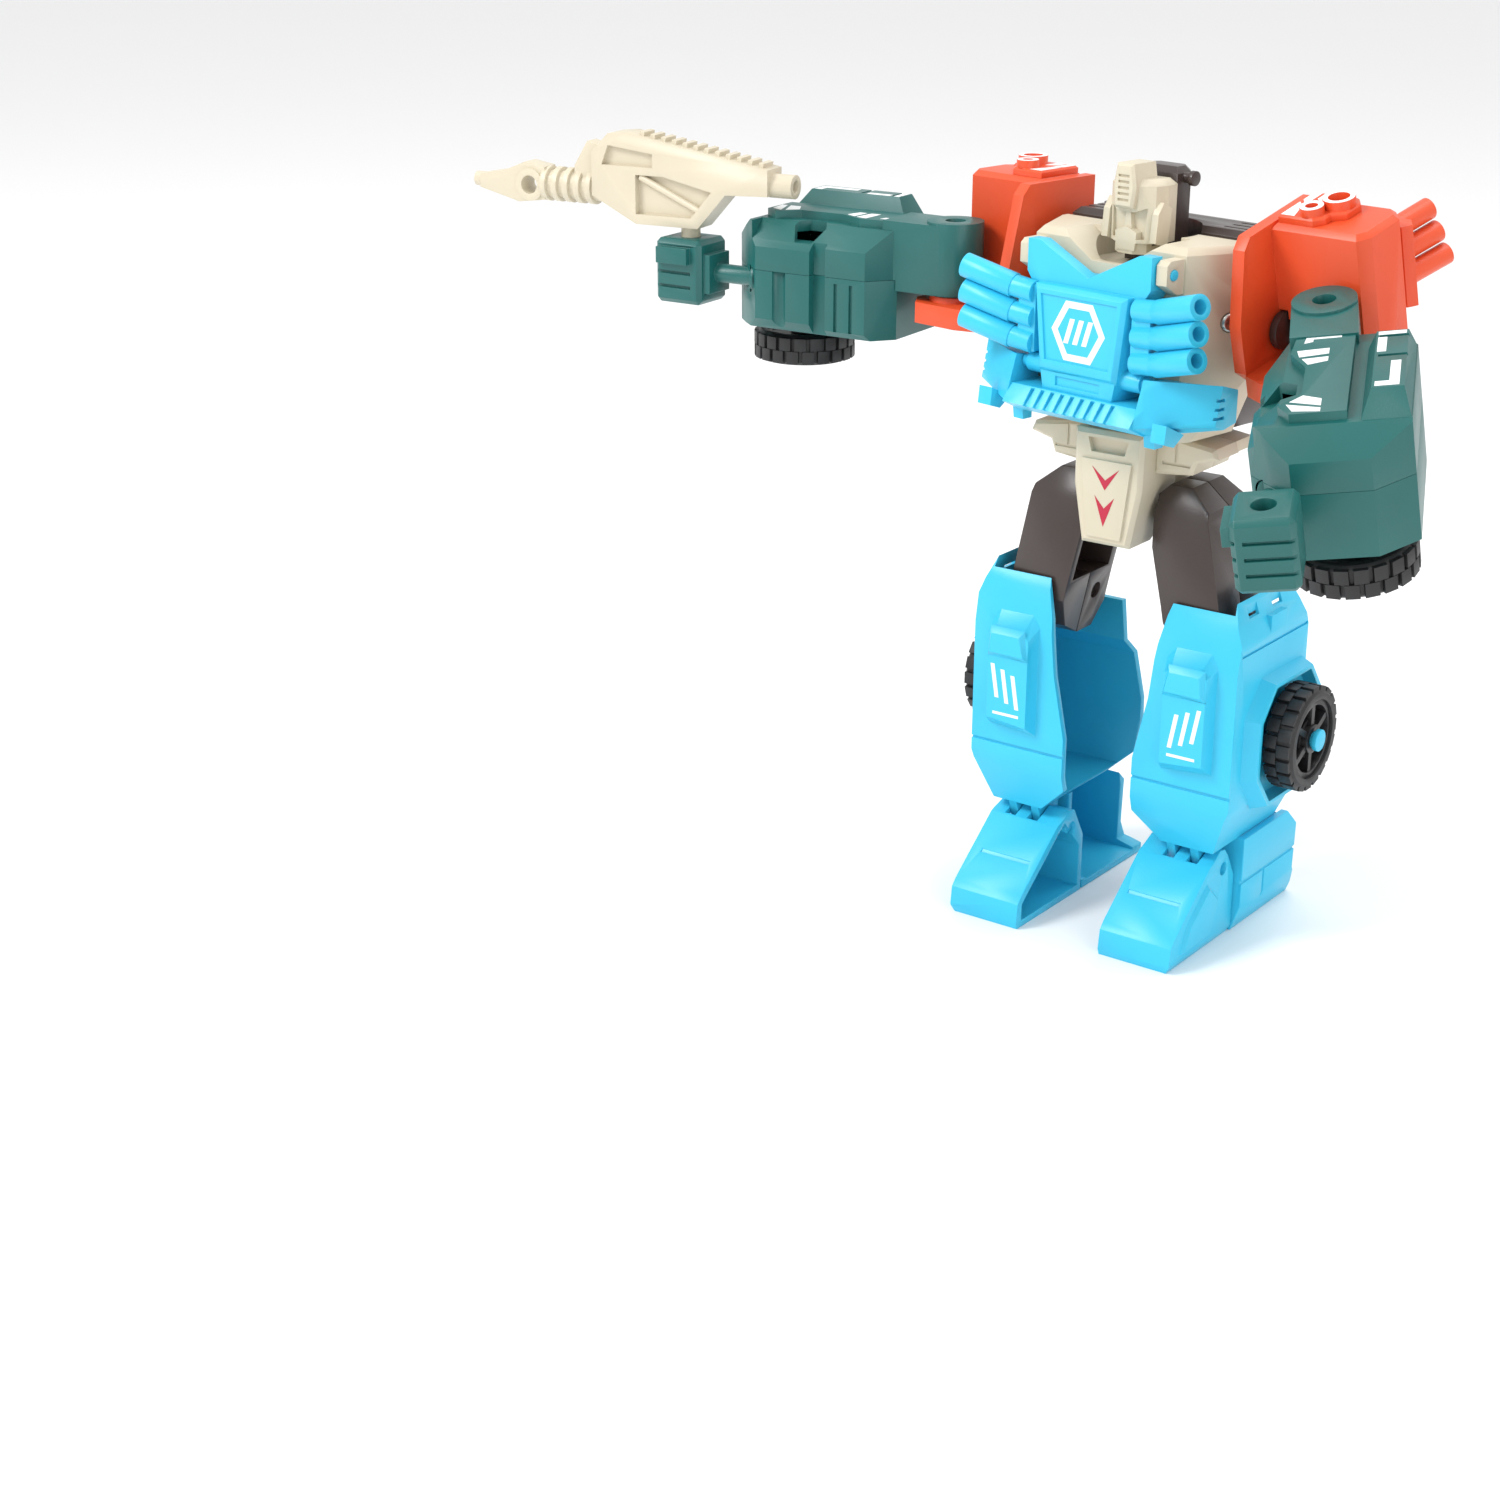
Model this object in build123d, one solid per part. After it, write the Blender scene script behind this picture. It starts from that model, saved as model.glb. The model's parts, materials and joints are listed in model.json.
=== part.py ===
from build123d import *
import os

# A transforming robot car, standing in its robot form. Millimetres, +Z up, and the front faces -Y. The robot's
# left side is +X. The finished model stands on z = 0 with the origin under the middle of its bounding box.
# Left limbs are modelled in a neutral pose. Right limbs are their mirror images, with their own pose angles.

# ---- driving dimensions --------------------------------------------------------------------------
WALL = 1.8                # thickness of a moulded wall
GAP = 0.4                 # clearance between a moving piece and its neighbour
PIN_CLEARANCE = 0.08      # radial clearance of a pin in its bore
SEAM = 0.1                # half of the joint line between two halves of a casing

CHEST_HALF = 29.0         # half width of the chest
CHEST_FRONT = -17.0
CHEST_SEAM_Y = 2.0        # where the front and back casings meet
CHEST_BACK = 16.0
CHEST_LOW = 126.0
CHEST_TOP = 170.0
NECK_FLOOR = 163.0
NECK_R = 12.0             # round recess in which the head turns
NECK_Y = -3.0

HOOD_PIVOT_Y = -20.6
HOOD_PIVOT_Z = 164.6
HOOD_PIN_R = 1.2
PLATE_HALF_TOP = 13.6
PLATE_HALF_LOW = 11.4
PLATE_TOP = 159.0
PLATE_LOW = 139.0
PIPE_R = 2.9
PIPE_BORE_R = 1.7
PIPE_PITCH = 5.9
PIPE_COUNT = 3
BUMPER_HALF = 35.0
GRILLE_RIBS = 9

WAIST_R = 7.0
PELVIS_TOP = 125.4
CROTCH_FRONT = -18.0

HIP_Y = -1.0
HIP_Z = 103.0
HIP_R = 2.5
KNEE_Y = 4.0
KNEE_Z = 79.0
KNEE_R = 2.0
LEG_IN = 11.0             # the open inner side of the lower leg
LEG_OUT = 36.0            # its outer wall
SHIN_FRONT = -16.0
SHIN_BACK = 20.0
SHIN_LOW = 25.0
SHIN_TOP = 89.5
FOOT_SHIFT = 2.0          # the feet stand this far outward of the shin's drawing
ANKLE_Y = -6.0
ANKLE_Z = 19.0
ANKLE_R = 1.6

WHEEL_R = 13.0
WHEEL_WIDTH = 7.6
WHEEL_SPOKES = 6
AXLE_R = 1.9
LEG_WHEEL_Y = 7.5
LEG_WHEEL_Z = 52.0

SHOULDER_SHIFT = CHEST_HALF - 26.0  # the arms stand this far outward of their drawing
FOLD_X = 27.2             # upright hinge that folds the whole arm outward, on the arm's drawing
CHEST_FOLD_X = FOLD_X + SHOULDER_SHIFT
FOLD_Y = 20.6
FOLD_R = 1.3
PITCH_Y = 0.0             # crosswise hinge that swings the arm forward
PITCH_Z = 152.0
PITCH_R = 2.6

SWING_X = 52.5            # upright hinge that swings the arm sideways
SWING_Y = -8.5
EYE_X = 52.0              # the same hinge on the arm's own drawing
EYE_Y = -2.0
ARM_TOP = 166.0
ARM_PIN_R = 2.9
PORT_R = 2.55             # accessory port for a 5 mm peg
ARM_EYE_R = 7.0
ARM_START = 65.0
ARM_END = 112.0
ARM_FRONT = -14.0
ARM_BACK = 18.0
ARM_LOW = 136.0
ARM_WHEEL_X = 99.0
ARM_WHEEL_Y = 4.0
WRIST_Y = -10.0
WRIST_Z = 148.0
WRIST_R = 2.4
FIST_X = 125.0

TORSO_TURN = -10.0        # the standing pose, in degrees from neutral
RIGHT_PITCH = 0.0
RIGHT_SWING = 14.0
LEFT_PITCH = 16.0
LEFT_SWING = 58.0
BLASTER_TURN = 6.0

SCREW_HEAD_R = 2.1
SCREW_HEAD_H = 1.2
CHEST_SCREW_Z = 153.0

AXES = {"x": Axis.X, "y": Axis.Y, "z": Axis.Z}


# ---- plain shapes --------------------------------------------------------------------------------
def span(a, b):
    """The two numbers in rising order."""
    return (min(a, b), max(a, b))


def box(x, y, z):
    """A block between two limits along each axis."""
    limits = [span(*pair) for pair in (x, y, z)]
    centre = [(low + high) / 2 for low, high in limits]
    size = [high - low for low, high in limits]
    return Pos(*centre) * Box(*size)


def prism(points, axis, low, high):
    """A polygon extruded along an axis. Its points are (y, z), (x, z) or (x, y) for axis x, y or z."""
    low, high = span(low, high)
    plane = {
        "x": Plane(origin=(low, 0, 0), x_dir=(0, 1, 0), z_dir=(1, 0, 0)),
        "y": Plane(origin=(0, high, 0), x_dir=(1, 0, 0), z_dir=(0, -1, 0)),
        "z": Plane(origin=(0, 0, low), x_dir=(1, 0, 0), z_dir=(0, 0, 1)),
    }[axis]
    return extrude(plane * make_face(Polyline(*points, close=True)), high - low)


def taper(points, top_points, axis, low, high):
    """A block whose outline changes evenly from one end to the other."""
    near = prism(points, axis, low, low + 1).faces().sort_by(AXES[axis])[0]
    far = prism(top_points, axis, high - 1, high).faces().sort_by(AXES[axis])[-1]
    return loft([near, far], ruled=True)


def rod(axis, at, radius, low, high):
    """A round bar along an axis. at holds its two other coordinates in x, y, z order."""
    low, high = span(low, high)
    middle = (low + high) / 2
    bar = Cylinder(radius, high - low)
    if axis == "x":
        return Pos(middle, at[0], at[1]) * Rot(0, 90, 0) * bar
    if axis == "y":
        return Pos(at[0], middle, at[1]) * Rot(90, 0, 0) * bar
    return Pos(at[0], at[1], middle) * bar


def bar_between(start, end, radius):
    """A round bar from one point to another."""
    start = Vector(*start)
    along = Vector(*end) - start
    return Plane(origin=start + along * 0.5, z_dir=along).location * Cylinder(radius, along.length)


def flip(shape):
    """The mirror image on the robot's other side."""
    return mirror(shape, about=Plane.YZ)


def on_both_sides(shape):
    return shape + flip(shape)


def group(*shapes):
    """Several separate solids in one node."""
    return Compound(children=[solid for shape in shapes for solid in shape.solids()])


def screw():
    """A pan-head screw with a cross recess, along +Z, the head's underside at the origin."""
    head = Cylinder(SCREW_HEAD_R, SCREW_HEAD_H, align=(Align.CENTER, Align.CENTER, Align.MIN))
    head = chamfer(head.edges().group_by(Axis.Z)[-1], 0.45)
    shank = Cylinder(1.0, 4.0, align=(Align.CENTER, Align.CENTER, Align.MAX))
    recess = Pos(0, 0, SCREW_HEAD_H) * (Box(2.4, 0.5, 1.0) + Box(0.5, 2.4, 1.0))
    return head + shank - recess


def screw_seat(depth=8.0):
    """The counterbore and pilot hole that a screw sits in."""
    seat = Cylinder(SCREW_HEAD_R + 0.2, depth, align=(Align.CENTER, Align.CENTER, Align.MIN))
    pilot = Cylinder(1.0 + PIN_CLEARANCE, 4.6, align=(Align.CENTER, Align.CENTER, Align.MAX))
    return seat + pilot


# ---- chest ---------------------------------------------------------------------------------------
def chest_screw_frame(side):
    """The slanted front corner of the chest carries one screw on each side."""
    return Plane(origin=(side * (CHEST_HALF - 2.4), -6.4, CHEST_SCREW_Z),
                 z_dir=(side * 0.906, -0.423, 0)).location


def chest_outline(inset=0.0):
    half = CHEST_HALF - inset
    nose = CHEST_HALF - 7.0 - inset * 0.5
    front = CHEST_FRONT + inset
    slant = CHEST_FRONT + 15.0 + inset * 0.2
    back = CHEST_SEAM_Y - SEAM
    return [(-half, back), (-half, slant), (-nose, front), (nose, front), (half, slant), (half, back)]


def make_chest_front():
    body = prism(chest_outline(), "z", CHEST_LOW, CHEST_TOP)
    body = chamfer(body.edges().group_by(Axis.Z)[-1], 1.6)
    edge = CHEST_HALF + 1
    low_corner = prism([(edge - 7, CHEST_LOW - 1), (edge, CHEST_LOW - 1), (edge, 142)], "y",
                       CHEST_FRONT - 1, 9)
    body -= on_both_sides(low_corner)
    hollow = prism(chest_outline(2.0), "z", CHEST_LOW + 5.6, NECK_FLOOR - 2.4)
    wide, narrow = CHEST_HALF - 2.5, CHEST_HALF - 9
    hollow &= prism([(-wide, 143), (-narrow, 130), (narrow, 130), (wide, 143), (wide, 165), (-wide, 165)],
                    "y", -20, 9)
    post = [(edge - 10, -10.5), (edge, -12), (edge, 1), (edge - 8, 1)]
    corner_post = prism(post, "z", CHEST_SCREW_Z - 4, CHEST_SCREW_Z + 4)
    body -= hollow - on_both_sides(corner_post)
    body -= rod("z", (0, NECK_Y), NECK_R, NECK_FLOOR, CHEST_TOP + 1)
    body -= prism([(-16, CHEST_TOP + 1), (-5, NECK_FLOOR + 1), (5, NECK_FLOOR + 1), (16, CHEST_TOP + 1)],
                  "y", -18, -6)
    body -= rod("z", (0, 0), WAIST_R + GAP, CHEST_LOW - 5, CHEST_LOW + 6)
    body -= rod("z", (0, NECK_Y), 2.5 + PIN_CLEARANCE, NECK_FLOOR - 4, NECK_FLOOR + 1)
    ear = prism([(-23, 162.4), (-23, 166.8), (-21.8, 167.8), (-15, 167.8), (-15, 160), (-19, 160)], "x",
                18.5, 21.5)
    body += on_both_sides(ear)
    body -= rod("x", (HOOD_PIVOT_Y, HOOD_PIVOT_Z), HOOD_PIN_R + PIN_CLEARANCE, -24, 24)
    # panel lines on the flanks
    flank = box((CHEST_HALF - 0.6, CHEST_HALF + 1), (-3, CHEST_SEAM_Y), (158.0, 158.8))
    body -= on_both_sides(flank)
    for side in (-1, 1):
        body -= chest_screw_frame(side) * screw_seat()
    return body


def make_chest_back():
    half = CHEST_HALF - 1.5
    seam = CHEST_SEAM_Y + SEAM
    outline = [(-half, seam), (half, seam), (half, 12), (half - 3.5, CHEST_BACK), (3.5 - half, CHEST_BACK),
               (-half, 12)]
    body = prism(outline, "z", CHEST_LOW, CHEST_TOP + 1.6)
    body = chamfer(body.edges().group_by(Axis.Z)[-1], 1.4)
    edge = CHEST_HALF + 1
    low_corner = prism([(edge - 9, CHEST_LOW - 1), (edge, CHEST_LOW - 1), (edge, 143)], "y", 0,
                       CHEST_BACK + 1)
    body -= on_both_sides(low_corner)
    wide, narrow = half - 2.5, half - 8.5
    hollow = [(-wide, 146), (-narrow, 130), (narrow, 130), (wide, 146), (wide, 160.6), (-wide, 160.6)]
    body -= prism(hollow, "y", 0, CHEST_BACK - WALL)
    body -= rod("z", (0, NECK_Y), NECK_R, NECK_FLOOR, CHEST_TOP + 3)
    body -= rod("z", (0, 0), WAIST_R + GAP, CHEST_LOW - 5, CHEST_LOW + 6)
    x, y = CHEST_FOLD_X, FOLD_Y
    lug_outline = [(x - 7.2, 12), (x - 2.8, 12), (x + 2.4, y - 1), (x + 2.4, y + 0.5), (x + 0.5, y + 2.4),
                   (x - 2, y + 3)]
    lug = prism([*lug_outline, (x - 7.2, CHEST_BACK - 0.1)], "z", 146.0, 149.6)
    lug_top = Pos(0, 0, 19.4) * lug
    body += on_both_sides(lug) + on_both_sides(lug_top)
    for side in (-1, 1):
        body -= rod("z", (side * CHEST_FOLD_X, FOLD_Y), FOLD_R + PIN_CLEARANCE, 140, 172)
    # ribs on the shoulder slab
    for rib in range(3):
        groove = box((14.5, half + 1), (5.5 + 3.2 * rib, 6.3 + 3.2 * rib), (CHEST_TOP + 1.1, CHEST_TOP + 2))
        body -= on_both_sides(groove)
    return body


def make_canopy():
    """The car's cockpit, carried on the robot's back."""
    low_y, mid_y, high_y = CHEST_BACK + 0.02, CHEST_BACK + 9.0, CHEST_BACK + 15.0
    base = [(-21, 131), (-15, CHEST_LOW + 0.6), (15, CHEST_LOW + 0.6), (21, 131), (21, 160), (16, 168),
            (-16, 168), (-21, 160)]
    sill = [(-20, 134), (-14, 129.5), (14, 129.5), (20, 134), (19, 160), (15, 167), (-15, 167), (-19, 160)]
    roof = [(-13, 148), (-10, 144), (10, 144), (13, 148), (12, 160), (10, 164), (-10, 164), (-12, 160)]
    body = taper(base, sill, "y", low_y, low_y + 4)
    body += taper(sill, roof, "y", low_y + 4, high_y)
    body += taper([(-7, 149), (7, 149), (6, 162), (-6, 162)],
                  [(-5, 151), (5, 151), (4.4, 161), (-4.4, 161)], "y", high_y - 0.5, high_y + 1.6)
    body -= box((-3.4, 3.4), (high_y + 0.6, high_y + 3), (151.6, 152.8))
    body -= box((-3.4, 3.4), (high_y + 0.6, high_y + 3), (154.0, 155.2))
    body -= taper([(-16, 134), (-12, 130), (12, 130), (16, 134), (15, 158), (12, 162), (-12, 162),
                   (-15, 158)],
                  [(-11, 148), (-8, 145), (8, 145), (11, 148), (10, 157), (8, 160), (-8, 160), (-10, 157)],
                  "y", low_y - 1, high_y - 2.4)
    vent = box((19.4, 24), (low_y + 1.2, low_y + 3.2), (138, 142))
    vent += box((19.4, 24), (low_y + 1.2, low_y + 3.2), (144, 148))
    body -= on_both_sides(vent)
    return body


def make_chest_screws():
    return group(*[chest_screw_frame(side) * screw() for side in (-1, 1)])


def make_fold_pins():
    at = (CHEST_FOLD_X, FOLD_Y)
    pin = rod("z", at, FOLD_R, 145.2, 169.6) + rod("z", at, 2.3, 169.02, 170.4)
    return group(pin, flip(pin))


def make_hood_pins():
    pin = rod("x", (HOOD_PIVOT_Y, HOOD_PIVOT_Z), HOOD_PIN_R, 14.9, 21.9)
    return group(pin, flip(pin))


# ---- hood on the chest ---------------------------------------------------------------------------
def make_hood():
    collar = [(-18.1, 168.4), (-14.5, 168.4), (0, 161.4), (14.5, 168.4), (18.1, 168.4), (18.1, 161),
              (15.6, 157.5), (-15.6, 157.5), (-18.1, 161)]
    body = prism(collar, "y", -24.2, CHEST_FRONT - GAP)
    body += box((-17.6, 17.6), (-22.4, CHEST_FRONT - GAP), (141, 158))
    outer = [(-PLATE_HALF_TOP, PLATE_TOP), (PLATE_HALF_TOP, PLATE_TOP), (PLATE_HALF_LOW, PLATE_LOW),
             (-PLATE_HALF_LOW, PLATE_LOW)]
    plate = prism(outer, "y", -27.2, -20)
    body += chamfer(plate.edges().group_by(Axis.Y)[0], 1.0)
    inner = [(-PLATE_HALF_TOP + 2.4, PLATE_TOP - 2), (PLATE_HALF_TOP - 2.4, PLATE_TOP - 2),
             (PLATE_HALF_LOW - 2, PLATE_LOW + 3), (-PLATE_HALF_LOW + 2, PLATE_LOW + 3)]
    body -= prism(inner, "y", -28, -26.7)
    # nose below the plate with a sunken panel
    nose = [(-12.5, 140), (12.5, 140), (11.4, 135.0), (-11.4, 135.0)]
    body += taper([(x * 0.9, z) for x, z in nose], nose, "y", -26.4, CHEST_FRONT - GAP)
    body -= box((-6.5, 6.5), (-27, -25.9), (136.2, 138.4))
    # knuckles round the hinge, narrow enough to turn in front of the chest
    body -= box((-19, 19), (HOOD_PIVOT_Y, -10), (161.4, 170))
    body += rod("x", (HOOD_PIVOT_Y, HOOD_PIVOT_Z), 2.9, 14.6, 18.1) + rod("x", (HOOD_PIVOT_Y, HOOD_PIVOT_Z),
                                                                          2.9, -18.1, -14.6)
    body -= box((18.15, 24), (-25, -10), (159, 170)) + box((-24, -18.15), (-25, -10), (159, 170))
    body -= rod("x", (HOOD_PIVOT_Y, HOOD_PIVOT_Z), HOOD_PIN_R + PIN_CLEARANCE, 14.4, 20)
    body -= rod("x", (HOOD_PIVOT_Y, HOOD_PIVOT_Z), HOOD_PIN_R + PIN_CLEARANCE, -20, -14.4)
    # round lamps
    for side in (-1, 1):
        body += rod("x", (-22.6, 139.8), 2.4, side * 11, side * 16.8)
        body += rod("x", (-22.6, 139.8), 1.6, side * 16.8, side * 18.6)
    return body


def make_pipes():
    """Three exhaust pipes on each side, one solid per side."""
    side = box((14.2, 19.4), (-25.4, -22.5), (142.6, 158.2))
    bores = []
    for number in range(PIPE_COUNT):
        z = 144.6 + PIPE_PITCH * number
        elbow, tip = (21.5, -24.6, z + 0.6), (34.5, -27.4, z + 4.0)
        side += bar_between((15, -24.4, z), elbow, PIPE_R - 0.3)
        side += bar_between(elbow, tip, PIPE_R)
        bores.append(bar_between((29.0, -26.2, z + 2.57), (36.0, -27.7, z + 4.4), PIPE_BORE_R))
    side -= box((10, 14.2), (-29, -20), (140, 165))
    side -= box((10, 40), (-22.5, -15), (140, 157.5))
    side -= box((10, 18.6), (-24.3, -15), (157.0, 166))
    for bore in bores:
        side -= bore
    return group(side, flip(side))


def make_bumper():
    body = prism([(-27.4, 135), (-30.4, 131), (-25, 128.4), (-18, 129.2), (-17.6, 135)], "x", -19, 19)
    for rib in range(GRILLE_RIBS):
        x = (rib - (GRILLE_RIBS - 1) / 2) * 3.0
        body -= prism([(-27.0, 134.0), (-28.6, 136), (-32, 131), (-28.2, 128.4), (-29.6, 131)], "x",
                      x - 0.6, x + 0.6)
    wing = taper([(-29.5, 131), (-24, 128.4), (-18, 129.2), (-18, 140.5), (-26, 141.5)],
                 [(-20, 132.5), (-17, 131.5), (-12.5, 132.5), (-12.5, 140.0), (-18, 141.6)], "x", 18.9,
                 BUMPER_HALF)
    wing -= box((12, 26.8), (-17.4, 0), (120, 145))
    wing += prism([(-24.4, 131.0), (-20.6, 131.0), (-20.6, 125.6), (-23.6, 125.6)], "x", 18.2, 21.2)
    wing += prism([(-28.4, 133), (-28.9, 128.8), (-25.4, 127.6), (-22, 130)], "x", 24, 28)
    for line in range(3):
        z = 134.0 + 2.0 * line
        wing -= box((29.0, 36), (-30, -17), (z, z + 0.7)) - box((29, 34.2), (-24, 0), (130, 142))
    body += on_both_sides(wing)
    return body


# ---- head ----------------------------------------------------------------------------------------
def make_head_face():
    outline = [(-6.6, 1.0), (-7.4, -3), (-6.4, -6.2), (-3.2, -8.6), (3.2, -8.6), (6.4, -6.2), (7.4, -3),
               (6.6, 1.0)]
    body = prism(outline, "z", 168.2, 182.5)
    body = chamfer(body.edges().group_by(Axis.Z)[-1], 1.4)
    chin = [(-4.6, 0), (-4.6, -6.5), (-2, -8.4), (2, -8.4), (4.6, -6.5), (4.6, 0)]
    body += prism(chin, "z", 165.6, 168.3)
    # sunken face with a brow, nose and mouth guard
    body -= prism([(-4.6, 169), (4.6, 169), (5.0, 176.2), (2.4, 175.2), (-2.4, 175.2), (-5.0, 176.2)], "y",
                  -12, -6.6)
    body += prism([(-1.1, 171.4), (1.1, 171.4), (0.6, 175.4), (-0.6, 175.4)], "y", -7.9, -6)
    body += prism([(-2.7, 166.4), (2.7, 166.4), (3.1, 170.6), (0, 171.8), (-3.1, 170.6)], "y", -8.6, -6)
    # crest with a row of slots
    crest = prism([(-2.6, 176.0), (2.6, 176.0), (3.3, 181), (2.4, 186), (-2.4, 186), (-3.3, 181)], "y",
                  -10.2, -2.0)
    crest = chamfer(crest.edges().group_by(Axis.Y)[0], 0.6)
    for slot in range(5):
        z = 177.6 + 1.35 * slot
        crest -= box((-1.6, 1.6), (-11, -9.7), (z, z + 0.6))
    body += crest
    # cheek guards
    guard = prism([(-7.6, 168.6), (-3.4, 167.4), (-2.2, 176), (-5.2, 177.6), (-7.0, 175)], "x", 6.2, 8.0)
    body += on_both_sides(guard)
    body -= box((-5.4, 5.4), (-4.5, 2), (167.4, 180.6))
    return body


def make_head_back():
    outline = [(-6.4, 1.1), (6.4, 1.1), (6.4, 6.0), (4.2, 8.6), (-4.2, 8.6), (-6.4, 6.0)]
    body = prism(outline, "z", 165.0, 184.6)
    body = chamfer(body.edges().group_by(Axis.Z)[-1], 1.4)
    body += box((-4.6, 4.6), (-3.6, 1.2), (168.6, 179.6))
    body += box((-4.0, 4.0), (-3.6, 1.2), (NECK_FLOOR + 0.4, 168.7)) & box((-4, 4), (-3.6, 1.2),
                                                                           (160, 165.5))
    body += box((-4.0, 4.0), (0.0, 6.0), (NECK_FLOOR + 0.4, 165.2))
    body += rod("z", (0, 0), 3.9, NECK_FLOOR + 0.3, 165.4)
    body += rod("z", (0, 0), 2.5, 160.6, NECK_FLOOR + 0.4)
    body += rod("z", (0, 0), 3.6, 158.8, 160.3) + rod("z", (0, 0), 2.5, 159, 161)
    for side in (-1, 1):
        body += rod("x", (4.0, 182.2), 1.2, side * 5.5, side * 9.4)
        body += rod("x", (4.0, 182.2), 1.7, side * 8.2, side * 9.4)
    for slot in range(3):
        body -= box((-3.4, 3.4), (8.1, 9), (170 + 3.4 * slot, 171.4 + 3.4 * slot))
    return body


# ---- pelvis --------------------------------------------------------------------------------------
def make_pelvis_front():
    body = prism([(-9.2, PELVIS_TOP), (9.2, PELVIS_TOP), (9.0, 112), (6.4, 98), (-6.4, 98), (-9.0, 112)],
                 "y", CROTCH_FRONT, HIP_Y - SEAM)
    body = chamfer(body.edges().group_by(Axis.Y)[0], 1.0)
    body -= prism([(-8, 97), (-5.4, 99.4), (2, 99.4), (2, 97)], "x", -12, 12)
    wing = prism([(8.6, PELVIS_TOP), (24, 123.4), (25, 121), (19.5, 119.5), (18.4, 116.4), (12, 115.7),
                  (8.6, 115.5)], "y", -11.5, HIP_Y - SEAM)
    wing = chamfer(wing.edges().group_by(Axis.Y)[0], 0.8)
    wing -= box((10.8, 18), (-12, -11.1), (118.2, 118.9)) + box((14.0, 14.7), (-12, -11.1), (118.2, 124))
    body += on_both_sides(wing)
    # sunken window above a raised shield
    body -= prism([(-5.4, 123.6), (5.4, 123.6), (4.4, 120.2), (-4.4, 120.2)], "y", CROTCH_FRONT - 1,
                  CROTCH_FRONT + 1.6)
    body += prism([(-6.6, 118.6), (6.6, 118.6), (4.6, 100.0), (-4.6, 100.0)], "y", CROTCH_FRONT - 0.7,
                  CROTCH_FRONT + 0.5)
    cavity = [(-6.8, 123), (6.8, 123), (6.6, 112), (4.6, 100.2), (-4.6, 100.2), (-6.6, 112)]
    low_block = box((-10, 10), (-7, 3), (98.9, 107.1))
    top_block = box((-10, 10), (-8.8, 3), (117.6, 127))
    body -= prism(cavity, "y", CROTCH_FRONT + 3.4, 2) - low_block - top_block
    body -= rod("x", (HIP_Y, HIP_Z), HIP_R + PIN_CLEARANCE, -12, 12)
    body -= rod("z", (0, 0), 4.0 + PIN_CLEARANCE, 119.6, 130)
    return body


def make_pelvis_back():
    body = prism([(-9.2, PELVIS_TOP), (9.2, PELVIS_TOP), (9.0, 112), (6.4, 98), (-6.4, 98), (-9.0, 112)],
                 "y", HIP_Y + SEAM, 9.0)
    body = chamfer(body.edges().group_by(Axis.Y)[-1], 1.2)
    body -= prism([(-2, 97), (-2, 99.4), (4, 99.4), (7.0, 104), (10, 104), (10, 97)], "x", -12, 12)
    wing = prism([(8.6, PELVIS_TOP), (24, 123.4), (24.6, 121), (19.5, 119.5), (18.4, 116.4), (12, 115.7),
                  (8.6, 115.5)], "y", HIP_Y + SEAM, 7.0)
    body += on_both_sides(wing)
    body -= box((-5.6, 5.6), (8.2, 10), (105, 116)) + box((-5.6, 5.6), (8.2, 10), (118.0, 122.4))
    body += box((-5.0, 5.0), (7.6, 8.9), (107.4, 108.6)) + box((-5.0, 5.0), (7.6, 8.9), (111.4, 112.6))
    body -= rod("x", (HIP_Y, HIP_Z), HIP_R + PIN_CLEARANCE, -12, 12)
    body -= rod("z", (0, 0), 4.0 + PIN_CLEARANCE, 119.6, 130)
    return body


def make_waist_post():
    post = rod("z", (0, 0), 4.0, 119.8, PELVIS_TOP + 0.2) + rod("z", (0, 0), WAIST_R, PELVIS_TOP + 0.1,
                                                                132.1)
    return post + rod("z", (0, 0), WAIST_R + 1.8, 132.0, 133.6)


def make_hip_pin():
    return rod("x", (HIP_Y, HIP_Z), HIP_R, -23.6, 23.6)


# ---- leg -----------------------------------------------------------------------------------------
def thigh_outline():
    """Seen from the front: the thigh leans outward."""
    return [(9.6, 110.5), (11.8, 112.8), (17.6, 112.8), (23.4, 108), (28.4, 84), (28.0, 69), (15.8, 69),
            (12.8, 84), (9.6, 98)]


def make_thigh(y_low, y_high, outer_detail):
    side = [(-12, 106), (-8.5, 112.8), (6.5, 112.8), (10, 106), (10, 75), (6, 69), (-1, 69), (-8, 72.5),
            (-12, 80)]
    body = prism(thigh_outline(), "y", y_low, y_high) & prism(side, "x", 0, 40)
    pocket = box((0, 22.0), (-9.6, 7.6), (87.6, 97.0)) + box((0, 24.6), (-9.6, 7.6), (85, 88.6))
    body -= pocket
    body -= rod("x", (HIP_Y, HIP_Z), HIP_R + PIN_CLEARANCE, 5, 40)
    body -= rod("x", (KNEE_Y, KNEE_Z), KNEE_R + PIN_CLEARANCE, 5, 40)
    # slot and port on the outer face, panel lines on the front
    body -= Plane(origin=(25.2, 1.5, 99.4), z_dir=(0.974, 0, 0.225)).location * Box(1.4, 6.4, 1.6)
    body -= Plane(origin=(26.6, 1.5, 92.8), z_dir=(0.974, 0, 0.225)).location * (Cylinder(2.6, 2.0)
                                                                                 - Cylinder(1.5, 4))
    if outer_detail:
        for x, z in ((17.5, 100), (20.5, 91)):
            body -= Pos(x, y_low, z) * Rot(0, 14, 0) * Box(5.5, 0.9, 0.8)
    return body


def shin_outline(inset=0.0):
    """Seen from the front. The inner side slants in toward the foot."""
    low, high, out = SHIN_LOW + inset, SHIN_TOP - inset, LEG_OUT - inset
    return [(17.5, high), (out - 4, high), (out, 79), (out, 38), (31, low), (17, low), (9.6, 32), (9.6, 46),
            (13, 62), (14.5, 76)]


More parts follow.
